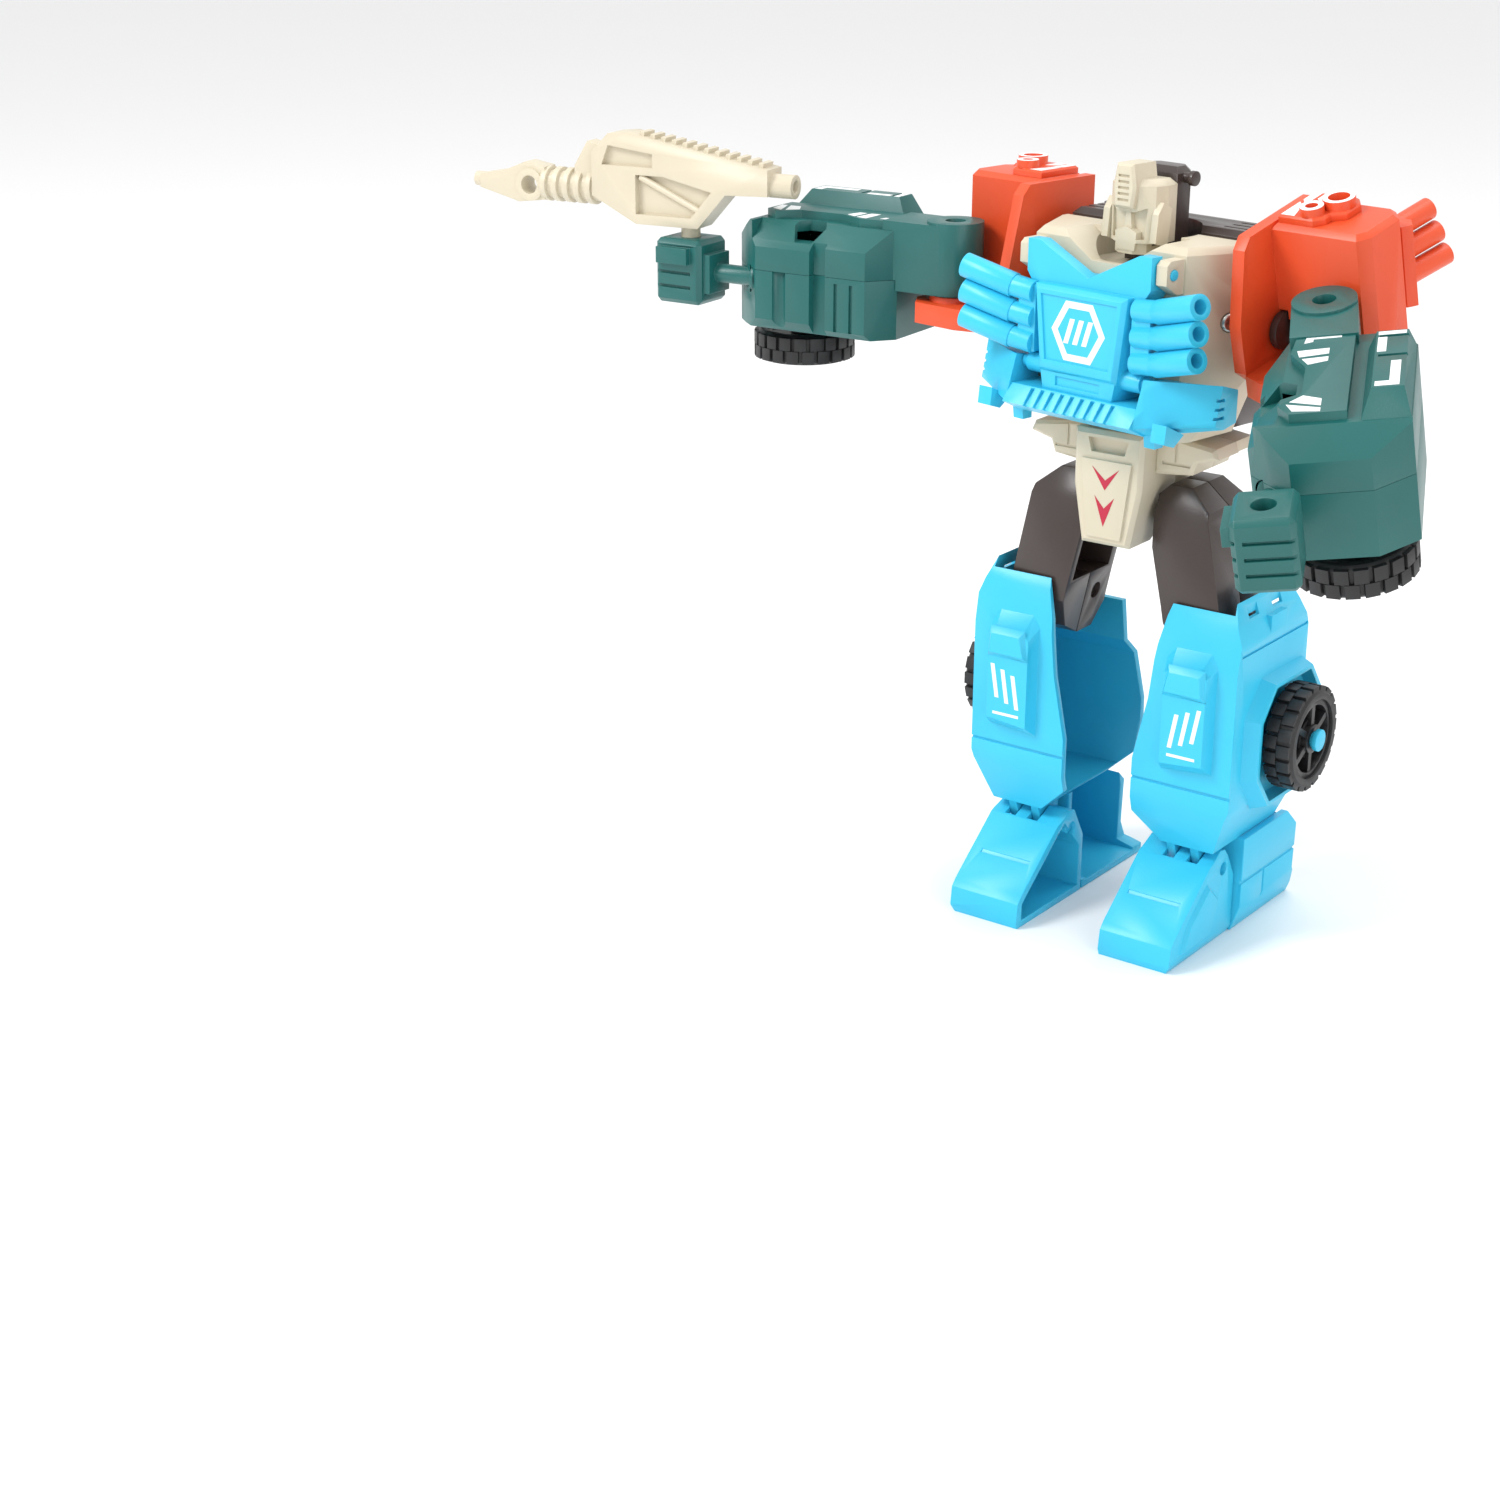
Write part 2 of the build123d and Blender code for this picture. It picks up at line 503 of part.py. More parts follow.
def make_shin():
    side = [(-11, SHIN_TOP), (-14.2, 83), (SHIN_FRONT, 72), (SHIN_FRONT, 36), (-12.5, SHIN_LOW),
            (20, SHIN_LOW), (25, 40), (24.4, 58),
            (20.5, 62), (20.5, 76), (17.6, 83), (14, SHIN_TOP)]
    cavity = [(y + (1.9 if y < 0 else -1.9), z) for y, z in side]
    body = prism(shin_outline(), "y", -30, 30) & prism(side, "x", 0, 60)
    hollow = prism([(0, 100), (LEG_OUT - 5.2, 100), (LEG_OUT - 1.9, 77), (LEG_OUT - 1.9, 39),
                    (31, SHIN_LOW + 3.4), (0, SHIN_LOW + 3.4)], "y", -30, 30)
    hollow &= prism([(y, z if z < 80 else z + 9) for y, z in cavity], "x", -1, 60)
    body -= hollow
    # the back wall stops below the knee
    body -= box((0, 31.6), (12.6, 30), (72.5, 100))
    # flange round the top edge, with two notches on the outer side
    body -= box((33, 40), (-8, -3), (84.0, 95)) + box((33, 40), (4, 9), (84.0, 95))
    # raised shin pad with a stepped end
    pad = taper([(18.6, 48), (29.8, 49), (29.8, 70.5), (28, 72.2), (20.4, 72.2), (18.6, 70.4)],
                [(17.2, 44.6), (31.3, 45.6), (31.3, 73.4), (29, 76.4), (19.5, 76.4), (17.2, 74)], "y",
                SHIN_FRONT - 3.4, SHIN_FRONT + 1.0)
    pad += taper([(19.4, 66.5), (29.0, 66.5), (28.4, 71.4), (20.6, 71.4)],
                 [(18.4, 65), (30.0, 65), (29.4, 73), (19.6, 73)], "y", SHIN_FRONT - 4.6, SHIN_FRONT - 3.2)
    body += pad
    # faceted wheel arch on the outer side
    arch = [(-11, 44), (-11, 60), (-3.5, 68.5), (18, 68.5), (24.3, 61), (24.3, 42), (18, 35), (-3.5, 35)]
    inner = [(LEG_WHEEL_Y + (y - LEG_WHEEL_Y) * 0.83, LEG_WHEEL_Z + (z - LEG_WHEEL_Z) * 0.86) for y,
             z in arch]
    rim = [(LEG_WHEEL_Y + (y - LEG_WHEEL_Y) * 0.9, LEG_WHEEL_Z + (z - LEG_WHEEL_Z) * 0.92) for y, z in arch]
    flare = taper(arch, rim, "x", LEG_OUT - 0.5, LEG_OUT + 3.6)
    body += flare - prism(inner, "x", LEG_OUT - 0.2, LEG_OUT + 5)
    # bosses for the axle and the knee pin
    body += rod("x", (LEG_WHEEL_Y, LEG_WHEEL_Z), 4.2, 30, LEG_OUT + 1.6)
    body -= rod("x", (LEG_WHEEL_Y, LEG_WHEEL_Z), AXLE_R + PIN_CLEARANCE, 20, 60)
    body += prism([(KNEE_Y - 4, 71), (KNEE_Y + 4, 71), (KNEE_Y + 4, 83), (KNEE_Y - 4, 83)], "x", 32.0,
                  LEG_OUT)
    body -= rod("x", (KNEE_Y, KNEE_Z), KNEE_R + PIN_CLEARANCE, 5, 34.6)
    # ankle lug
    lug = prism([(-12.4, 26), (-9.6, 18.6), (-6, 15.4), (-2.6, 18.6), (-1.6, 26)], "x", 16.2, 18.4)
    body += Pos(FOOT_SHIFT, 0, 0) * (lug + Pos(6.4, 0, 0) * lug)
    body -= rod("x", (ANKLE_Y, ANKLE_Z), ANKLE_R + PIN_CLEARANCE, 5, 40)
    # panel lines
    body -= box((9, LEG_OUT), (SHIN_FRONT - 0.1, SHIN_FRONT + 0.5), (41.0, 41.7))
    body -= box((LEG_OUT - 0.5, LEG_OUT + 0.1), (-14, 20), (76.0, 76.7))
    return body


def make_heel():
    side = [(0.5, SHIN_LOW - 0.02), (24, SHIN_LOW - 0.02), (29.6, 20), (29.0, 8), (31.6, 3), (31.6, 0),
            (0.5, 0)]
    body = prism(side, "x", 9.6, 31)
    body &= prism([(9.6, 0), (9.6, 2.4), (14.6, 3.6), (14.6, 26), (31, 26), (31, 7), (28.6, 0)], "y", -40,
                  40)
    body -= prism([(2.4, 1.8), (2.4, 40), (22.5, 40), (27.4, 19), (27.0, 1.8)], "x", 0, 29.0)
    body -= box((30.5, 32), (0, 30), (13.0, 13.8)) + box((30.5, 32), (12, 12.8), (4, 13.2))
    return body


def make_toe():
    side = [(-0.2, 0), (-31, 0), (-31.6, 1.6), (-31, 6.6), (-29.4, 8.4), (-13.4, 21.4), (-9.8, 22.8),
            (-7.2, 24.0), (-5.0, 23.6), (-0.2, 15.5)]
    body = prism(side, "x", 9.6, 29.0)
    body &= prism([(9.6, 0), (9.6, 30), (27, 30), (29, 22), (29, 2), (28, 0)], "y", -40, 40)
    body -= prism([(-2.0, -1), (-29, -1), (-29, 6.0), (-12.2, 19.6), (-9.5, 21.4), (-2.0, 13)], "x", 0,
                  27.0) & box((0, 40), (-40, 0), (1.8, 40))
    # room for the two ankle lugs, and the pin's bore between them
    body -= box((15.8, 18.8), (-12.8, 1), (14.6, 30)) + box((22.2, 25.2), (-12.8, 1), (14.6, 30))
    body += prism([(-10, 22), (-10, 15.6), (-2.4, 15.6), (-2.4, 18.6), (-6, 22.6)], "x", 19.0, 22.0)
    body -= rod("x", (ANKLE_Y, ANKLE_Z), ANKLE_R + PIN_CLEARANCE, 5, 40)
    # raised facet and panel lines on the outer side
    facet = [(-27, 3), (-12, 3), (-8, 12), (-14, 18), (-24, 10)]
    body += taper(facet, [(-25.4, 4.2), (-13, 4.2), (-9.6, 12), (-14.4, 16.4), (-23.2, 9.4)], "x", 28.8,
                  30.0)
    body -= Pos(19, -22.3, 14.3) * Rot(-39.4, 0, 0) * Box(14, 0.8, 1.0)
    return body


def wheel_tyre():
    """A treaded tyre round +Z, centred on the origin."""
    tyre = Cylinder(WHEEL_R - 0.8, WHEEL_WIDTH)
    tyre = chamfer(tyre.edges(), 0.8)
    block = Box(1.5, 3.0, WHEEL_WIDTH * 0.42)
    for number in range(20):
        turn = number * 18
        tyre += Rot(0, 0, turn) * Pos(WHEEL_R - 0.75, 0, WHEEL_WIDTH * 0.22) * block
        tyre += Rot(0, 0, turn + 9) * Pos(WHEEL_R - 0.75, 0, -WHEEL_WIDTH * 0.22) * block
    return tyre - Cylinder(WHEEL_R - 3.2, WHEEL_WIDTH + 1)


def wheel_hub():
    """Six spokes inside a rim, round +Z, centred on the origin. The open face is +Z."""
    rim = Cylinder(WHEEL_R - 3.25, WHEEL_WIDTH - 1.2) - Cylinder(WHEEL_R - 4.6, WHEEL_WIDTH + 1)
    hub = rim + Cylinder(3.6, WHEEL_WIDTH - 0.6) + Pos(0, 0,
                                                       -WHEEL_WIDTH / 2 + 1.6) * Cylinder(WHEEL_R - 4.0,
                                                                                          1.2)
    for number in range(WHEEL_SPOKES):
        spoke = Rot(0, 0, number * 60) * Pos((WHEEL_R - 4) / 2, 0, 0.6) * Box(WHEEL_R - 4, 1.6,
                                                                              WHEEL_WIDTH - 2.8)
        hub += spoke
    hexagon = extrude(RegularPolygon(5.4, 6), 1.6) - extrude(RegularPolygon(4.2, 6), 1.6)
    hub += Pos(0, 0, 0.4) * hexagon
    return hub - Cylinder(AXLE_R + PIN_CLEARANCE, WHEEL_WIDTH + 2)


def axle(length_in, length_out):
    """A wheel's axle along +Z with a retaining head outside the wheel."""
    shaft = Pos(0, 0, (length_out - length_in) / 2) * Cylinder(AXLE_R, length_in + length_out)
    return shaft + Pos(0, 0, length_out) * Cylinder(2.7, 1.2, align=(Align.CENTER, Align.CENTER, Align.MIN))


LEG_WHEEL = Pos(42.0, LEG_WHEEL_Y, LEG_WHEEL_Z) * Rot(0, 90, 0)


# ---- arm -----------------------------------------------------------------------------------------
def make_link():
    plate = prism([(-6, 146), (-4, 144), (10, 144), (10, 150.1), (17.4, 150.1), (17.4, 164.6), (-1, 164.6),
                   (-6, 158)], "x", 26.5, 29.6)
    x, y = FOLD_X, FOLD_Y
    round_end = [(x + 2.4, y - 1), (x + 2.4, y + 1.8), (x + 1, y + 2.8), (x - 1.6, y + 2.8),
                 (x - 2.4, y + 1)]
    barrel = prism([(26.5, 16), (29.6, 16), *round_end], "z", 150.1, 164.9)
    body = plate + barrel
    body -= rod("z", (FOLD_X, FOLD_Y), FOLD_R + PIN_CLEARANCE, 140, 172)
    body -= rod("x", (PITCH_Y, PITCH_Z), PITCH_R + PIN_CLEARANCE, 20, 40)
    body -= rod("x", (PITCH_Y, PITCH_Z), 4.2, 20, 27.9)
    return body


def make_pitch_pin():
    """The crosswise pin, with a flat head at each end."""
    pin = rod("x", (PITCH_Y, PITCH_Z), PITCH_R, 26.7, 34.2)
    return pin + rod("x", (PITCH_Y, PITCH_Z), 4.1, 26.7, 27.85) + rod("x", (PITCH_Y, PITCH_Z), 4.4, 33.4,
                                                                      35.2)


SHELL_OUTLINE = [(33.1, 0.3), (55.4, 0.3), (57.4, 3.2), (57.4, 13.4), (54.4, 16.6), (33.1, 16.6)]


def make_shoulder_shell():
    plate = prism([(16.6, 141.5), (-8, 141.5), (-13.6, 147), (-13.6, 158), (-9.4, 174.6), (-7, 177),
                   (16.6, 177)], "x", 30.1, 33.2)
    outer = prism(SHELL_OUTLINE, "z", 143.0, 177.0)
    outer = chamfer(outer.edges().group_by(Axis.Z)[-1], 1.2)
    inner = prism([(33.2, 2.1), (54.6, 2.1), (55.6, 3.8), (55.6, 12.6), (53.6, 14.8), (33.2, 14.8)], "z",
                  140.0, 175.0)
    body = outer - inner + plate
    # tray beneath the arm, with the seat of its upright pin
    tray = prism([(33.0, -13.6), (44, -17.5), (57, -17.5), (61.5, -12), (61.5, 0), (57.4, 8), (33.0, 9.0)],
                 "z", 141.5, 146.6)
    body += tray - prism([(35, 2.1), (54.6, 2.1), (55.6, 3.8), (55.6, 12), (35, 12)], "z", 140, 150)
    body += rod("z", (SWING_X, SWING_Y), 6.0, 146.5, 148.0)
    body -= rod("z", (SWING_X, SWING_Y), ARM_PIN_R + PIN_CLEARANCE, 138, 150)
    body -= rod("z", (SWING_X, SWING_Y), 4.7, 138, 143.2)
    body -= rod("x", (PITCH_Y, PITCH_Z), PITCH_R + PIN_CLEARANCE, 28, 36)
    body -= rod("x", (PITCH_Y, PITCH_Z), 4.4 + GAP, 33.3, 35.6)
    for z in (150.0, 154.0):
        body -= box((38, 50), (15.2, 18), (z, z + 1.0))
    return body


def make_shoulder_cap():
    """A raised pad with two ring ports on the shoulder's top."""
    outline = [(34.4, 1.7), (43.4, 1.7), (45.4, 3.8), (45.4, 5.6), (48.4, 7.4), (48.4, 12.6), (46.2, 15.2),
               (34.4, 15.2)]
    body = prism(outline, "z", 177.02, 178.8)
    body = chamfer(body.edges().group_by(Axis.Z)[-1], 0.5)
    body += rod("z", (44.6, 10.2), 3.6, 178.7, 180.8) + rod("z", (41.4, 4.6), 2.7, 178.7, 180.6)
    body -= rod("z", (44.6, 10.2), 2.4, 178.2, 183) + rod("z", (41.4, 4.6), 1.4, 178.2, 183)
    return body


def make_exhaust():
    """Three tubes, one above another, that point backward behind the shoulder."""
    body = prism([(44.0, 16.65), (55.4, 16.65), (57.0, 18.6), (55.0, 21.0), (46.0, 21.0)], "z", 153.4,
                 172.4)
    bores = []
    for number in range(3):
        start = (50.0 + 1.6 * number, 19.0, 169.4 - 5.0 * number)
        end = (52.6 + 1.9 * number, 31.0, 170.6 - 5.0 * number)
        body += bar_between(start, end, 2.5)
        along = Vector(*end) - Vector(*start)
        bores.append(bar_between(Vector(*start) + along * 0.6, Vector(*start) + along * 1.2, 1.5))
    body -= box((35, 70), (10, 16.64), (150, 190))
    for bore in bores:
        body -= bore
    return body


def forearm_outline():
    step = [(82, ARM_FRONT), (82, ARM_FRONT + 1.2), (86, ARM_FRONT + 1.2), (86, ARM_FRONT - 1)]
    fist_end = [(102, ARM_FRONT - 1), (108, -10), (ARM_END, -6), (ARM_END, 10), (106, ARM_BACK)]
    return [(ARM_START, -7.5), (70.5, ARM_FRONT), *step, *fist_end, (72, ARM_BACK), (ARM_START, 12)]


def make_arm_base():
    """The lower half of the forearm, with the wheel's axle boss."""
    body = prism(forearm_outline(), "z", ARM_LOW, 150.9)
    front, back = ARM_FRONT + 3.4, ARM_BACK - 2.4
    cavity = [(70, -5), (73, front), (100, front), (105, -6.5), (105, 9), (103.6, back), (74, back),
              (70, 10)]
    axle_boss = rod("z", (ARM_WHEEL_X, ARM_WHEEL_Y), 4.2, ARM_LOW, 149)
    body -= prism(cavity, "z", ARM_LOW - 1, 148.6) - axle_boss
    body += rod("z", (ARM_WHEEL_X, ARM_WHEEL_Y), 4.2, ARM_LOW - 2.0, ARM_LOW + 1)
    # grooves and a half-round channel across the front
    for x in (74.0, 78.4):
        body -= box((x, x + 1.0), (ARM_FRONT - 2, ARM_FRONT + 0.6), (137.5, 149.5))
    body -= rod("z", (95.0, ARM_FRONT - 1.4), 2.0, 130, 152)
    # slanted lower front edge
    body -= prism([(ARM_FRONT - 3, 135), (ARM_FRONT - 3, 141), (ARM_FRONT + 2.2, 135)], "x", 60, 120)
    body -= rod("z", (ARM_WHEEL_X, ARM_WHEEL_Y), AXLE_R + PIN_CLEARANCE, 120, 149.5)
    body -= rod("x", (WRIST_Y, WRIST_Z), WRIST_R + PIN_CLEARANCE, 100, 120)
    body -= rod("x", (WRIST_Y, WRIST_Z), 4.2, 100, 105.4)
    return body


def make_arm_cover():
    """The upper half of the forearm, reaching over to the hinge eye."""
    body = prism(forearm_outline(), "z", 151.0, 163.0)
    front_slope = prism([(ARM_FRONT - 3, 155.0), (ARM_FRONT - 3, 165), (ARM_FRONT + 5.5, 165),
                         (ARM_FRONT + 5.5, 163.0)], "x", 60, 104)
    end_slope = prism([(104, 164), (116, 164), (116, 155)], "y", -30, 30)
    body -= front_slope + end_slope
    # raised far ridge, broad raised deck and the hinge eye
    ridge = taper([(72, 8.0), (105, 8.0), (105, ARM_BACK - 0.2), (72, ARM_BACK - 0.2)],
                  [(75, 10.2), (101, 10.2), (101, 16.6), (75, 16.6)], "z", 162.9, ARM_TOP + 2)
    deck = prism([(66, -6.5), (76, -7.5), (83, -4.0), (95, -4.0), (100, -8.5), (104, -6), (104, 5.4),
                  (66, 5.4)], "z", 162.9, 165.0)
    eye = prism([(EYE_X, EYE_Y - ARM_EYE_R), (69, -8.2), (69, 6.0), (EYE_X, EYE_Y + ARM_EYE_R)], "z", 148.4,
                ARM_TOP - 0.6)
    eye += rod("z", (EYE_X, EYE_Y), ARM_EYE_R, 148.4, ARM_TOP)
    eye -= box((ARM_START - 0.01, 72), (-20, 20), (140, 151.0))
    body += ridge + deck + eye
    body -= box((70, 105), (-9, 15.6), (150, 160.4))
    # hexagonal notch on the deck
    body -= Pos(89, -9.5, 158.5) * extrude(RegularPolygon(4.6, 6), 8)
    for line in range(2):
        body -= box((77 + 9 * line, 78 + 9 * line), (10.9, 17.5), (167.4, 169))
    body -= rod("x", (WRIST_Y, WRIST_Z), WRIST_R + PIN_CLEARANCE, 100, 120)
    body -= rod("x", (WRIST_Y, WRIST_Z), 4.2, 100, 105.4)
    body -= rod("z", (EYE_X, EYE_Y), ARM_PIN_R + PIN_CLEARANCE, 140, 158.4)
    body -= rod("z", (EYE_X, EYE_Y), PORT_R, 158.3, 170)
    return body


def make_arm_pin():
    return rod("z", (SWING_X, SWING_Y), ARM_PIN_R, 141.9, 158.2) + rod("z", (SWING_X, SWING_Y), 4.5, 141.9,
                                                                       143.1)


def make_fist():
    """A closed hand with an upright round port."""
    back, front = FIST_X - 7.0, FIST_X + 7.0
    body = chamfer(box((back, front), (-16.5, -3.5), (140, 156.5)).edges(), 1.2)
    for band in range(3):
        z = 144.0 + 3.6 * band
        body -= box((back + 3, front + 4), (-17.5, -15.6), (z, z + 0.8))
        body -= box((front - 0.9, front + 4), (-14, -2), (z, z + 0.8))
    body += box((ARM_END + 4.2, back + 1), (-14.6, -5.4), (143, 153))
    body += box((back + 3, front - 1.5), (-18.2, -15), (150.4, 154.6))
    body += rod("x", (WRIST_Y, WRIST_Z), WRIST_R, 104.0, ARM_END + 5)
    body += rod("x", (WRIST_Y, WRIST_Z), 3.8, 103.6, 104.8)
    body -= rod("z", (FIST_X, WRIST_Y), PORT_R, 138, 160)
    return body


ARM_WHEEL = Pos(ARM_WHEEL_X, ARM_WHEEL_Y, 129.6) * Rot(180, 0, 0)


# ---- blaster, along +X from its grip peg, muzzle toward +X ---------------------------------------
def make_blaster():
    body = rod("z", (0, 0), 2.5, -9.0, 4.0)
    # receiver with a sloping ribbed top
    receiver = [(-24, 12), (-24, 18.6), (17, 25.5), (22, 25), (27, 20), (27, 9), (14, 2.5), (-4, 2.5),
                (-12, 11.6)]
    body += prism(receiver, "y", -4.0, 4.0)
    for rib in range(12):
        x = -21.5 + 3.1 * rib
        z = 19.0 + (x + 21.5) * 0.168
        body += Pos(x, 0, z) * Rot(0, -9.5, 0) * Box(1.3, 5.6, 2.2)
    # guard flange, fore-end with rings, ring port and muzzle
    body += prism([(24, 8), (24, 21), (29, 22.5), (33, 16), (33, 8)], "y", -2.4, 2.4)
    body += rod("x", (0, 10.5), 3.6, 26, 44)
    for ring in range(5):
        body += rod("x", (0, 10.5), 4.5, 27.5 + 3.4 * ring, 29.1 + 3.4 * ring)
    body += prism([(42, 6.5), (42, 15), (48, 16), (54, 13.5), (62, 12), (62, 8.5), (50, 5.5)], "y", -2.8,
                  2.8)
    body += rod("y", (46.5, 10.2), 4.2, -3.4, 3.4)
    body -= rod("y", (46.5, 10.2), 2.4, -6, 6)
    body += rod("x", (0, 10.3), 1.9, 60, 64.5)
    body -= rod("x", (0, 10.3), 1.0, 61, 66)
    # stock tube, and hollows in the receiver's sides with a brace across each
    body += rod("x", (0, 14.4), 3.0, -30, -23)
    body -= rod("x", (0, 14.4), 1.6, -31, -25)
    for side in (-1, 1):
        hollow = prism([(-2, 5), (-8, 12), (6, 15), (14, 15), (14, 5)], "y", side * 2.2, side * 5)
        hollow += prism([(9, 17), (9, 20.5), (22, 22), (24, 17)], "y", side * 2.6, side * 5)
        body -= hollow
        body += bar_between((-4, side * 2.9, 7.0), (13, side * 2.9, 14.4), 0.9)
    return body


# ---- pose and assembly ---------------------------------------------------------------------------
def turn_about(point, axis, angle):
    """A turn about a line through a point, along one of the three axes."""
    turns = {"x": (angle, 0, 0), "y": (0, angle, 0), "z": (0, 0, angle)}[axis]
    return Pos(*point) * Rot(*turns) * Pos(*[-value for value in point])


def limb_frames(side, pitch, swing):
    """Where an arm's bodies stand: side is 1 for left and -1 for right."""
    torso = turn_about((0, 0, 0), "z", TORSO_TURN)
    link = torso * Pos(side * SHOULDER_SHIFT, 0, 0)
    shoulder = link * turn_about((side * FOLD_X, PITCH_Y, PITCH_Z), "x", pitch)
    arm = shoulder * turn_about((side * SWING_X, SWING_Y, 0), "z", -side * swing)
    arm = arm * Pos(side * (SWING_X - EYE_X), SWING_Y - EYE_Y, 0)
    return {"torso": torso, "link": link, "shoulder": shoulder, "arm": arm}


FRAMES = {
    "left": limb_frames(1, LEFT_PITCH, LEFT_SWING),
    "right": limb_frames(-1, RIGHT_PITCH, RIGHT_SWING),
}
BLASTER_FRAME = (
    FRAMES["right"]["arm"]
    * Pos(-FIST_X, WRIST_Y, 156.6)
    * Rot(0, 0, BLASTER_TURN)
    * Rot(0, 0, 180)
)


def build():
    """Every node by name, standing in the robot pose."""
    torso = FRAMES["left"]["torso"]
    nodes = {
        "chest_front": torso * make_chest_front(),
        "chest_back": torso * make_chest_back(),
        "canopy": torso * (make_canopy() - make_chest_back()),
        "chest_screws": torso * make_chest_screws(),
        "fold_pins": torso * make_fold_pins(),
        "hood_pins": torso * make_hood_pins(),
        "hood": torso * make_hood(),
        "exhaust_pipes": torso * make_pipes(),
        "bumper": torso * make_bumper(),
        "head_face": torso * Pos(0, NECK_Y, 0) * make_head_face(),
        "head_back": torso * Pos(0, NECK_Y, 0) * make_head_back(),
        "pelvis_front": make_pelvis_front(),
        "pelvis_back": make_pelvis_back(),
        "waist_post": make_waist_post(),
        "hip_pin": make_hip_pin(),
        "blaster": BLASTER_FRAME * make_blaster(),
    }
    leg = {
        "thigh_front": make_thigh(-14, HIP_Y - SEAM, True),
        "thigh_back": make_thigh(HIP_Y + SEAM, 14, False),
        "shin": make_shin(),
        "heel": Pos(FOOT_SHIFT, 0, 0) * make_heel(),
        "toe": Pos(FOOT_SHIFT, 0, 0) * make_toe(),
        "knee_pin": rod("x", (KNEE_Y, KNEE_Z), KNEE_R, 15.0, 34.2),
        "ankle_pin": rod("x", (ANKLE_Y, ANKLE_Z), ANKLE_R, 12.6, 28.6),
        "leg_tyre": LEG_WHEEL * wheel_tyre(),
        "leg_hub": LEG_WHEEL * wheel_hub(),
        "leg_axle": LEG_WHEEL * axle(11.0, 4.2),
    }
    arm = {
        "arm_link": ("link", make_link()),
        "pitch_pin": ("link", make_pitch_pin()),
        "shoulder_shell": ("shoulder", make_shoulder_shell()),
        "shoulder_cap": ("shoulder", make_shoulder_cap()),
        "shoulder_exhaust": ("shoulder", make_exhaust()),
        "arm_pin": ("shoulder", make_arm_pin()),
        "arm_base": ("arm", make_arm_base()),
        "arm_cover": ("arm", make_arm_cover()),
        "fist": ("arm", make_fist()),
        "arm_tyre": ("arm", ARM_WHEEL * wheel_tyre()),
        "arm_hub": ("arm", ARM_WHEEL * wheel_hub()),
        "arm_axle": ("arm", ARM_WHEEL * axle(8.0, 4.2)),
    }
    for name, shape in leg.items():
        nodes[f"left_{name}"] = shape
        nodes[f"right_{name}"] = flip(shape)
    for name, (body, shape) in arm.items():
        nodes[f"left_{name}"] = FRAMES["left"][body] * shape
        nodes[f"right_{name}"] = FRAMES["right"][body] * flip(shape)
    return nodes


def floor_shift(nodes):
    """Moves the model so that the origin lies on the floor under the middle of its bounding box."""
    solids = [Compound(children=list(node.solids())) for node in nodes.values()]
    bounds = Compound(children=solids).bounding_box()
    return Pos(-bounds.center().X, -bounds.center().Y, -bounds.min.Z)


if __name__ == "__main__":
    os.makedirs("parts", exist_ok=True)
    model = build()
    shift = floor_shift(model)
    for name, shape in model.items():
        export_step(shift * shape, f"parts/{name}.step")
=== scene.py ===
import json
import math
import bpy
from mathutils import Matrix, Vector


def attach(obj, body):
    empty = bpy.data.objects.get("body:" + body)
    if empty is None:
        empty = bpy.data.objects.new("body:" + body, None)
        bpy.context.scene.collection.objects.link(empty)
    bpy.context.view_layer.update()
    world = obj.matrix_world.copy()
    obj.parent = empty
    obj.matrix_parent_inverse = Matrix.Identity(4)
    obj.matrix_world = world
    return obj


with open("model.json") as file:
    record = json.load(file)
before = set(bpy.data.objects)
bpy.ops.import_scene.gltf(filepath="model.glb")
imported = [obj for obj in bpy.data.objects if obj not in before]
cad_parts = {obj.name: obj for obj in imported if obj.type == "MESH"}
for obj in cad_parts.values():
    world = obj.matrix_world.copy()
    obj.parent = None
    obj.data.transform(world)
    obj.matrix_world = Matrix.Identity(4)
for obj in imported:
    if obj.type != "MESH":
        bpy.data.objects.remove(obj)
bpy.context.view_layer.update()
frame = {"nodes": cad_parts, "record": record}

# ---- surface finishes ----------------------------------------------------------------------------
GRAIN_DEPTH = 0.00006
PLASTIC_IOR = 1.49
SCATTER_RADIUS = (0.002, 0.002, 0.002)


